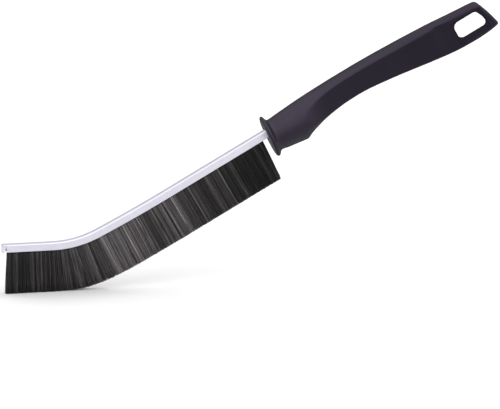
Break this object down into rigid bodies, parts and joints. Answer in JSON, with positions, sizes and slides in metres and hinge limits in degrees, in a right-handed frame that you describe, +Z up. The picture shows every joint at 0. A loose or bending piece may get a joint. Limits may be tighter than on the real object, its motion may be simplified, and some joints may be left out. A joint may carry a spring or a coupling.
{
  "type": "grout brush",
  "caption": "Long narrow hand brush: a strip of filaments in a bent metal channel, level at the tip and rising to a moulded handle with a collar flange and a hanging hole.",
  "frame": {"origin": "centre of the brush's footprint, on the surface that the filament ends of its tip stand on", "axes": "+X from the tip to the hanging end, +Y across the strip, +Z up from the surface towards the back of the strip"},
  "size_m": [0.2588, 0.0222, 0.1406],
  "materials": {
    "handle_plastic": "satin violet-black moulded plastic",
    "strip_metal": "bright zinc-plated sheet, satin",
    "wire_metal": "plain drawn wire",
    "filaments": "black synthetic filament"
  },
  "bodies": {
    "root": {"handle": "handle_plastic", "channel": "strip_metal", "core_wire": "wire_metal", "filaments_tip": "filaments", "filaments_bend": "filaments", "filaments_run": "filaments"}
  },
  "joints": []
}
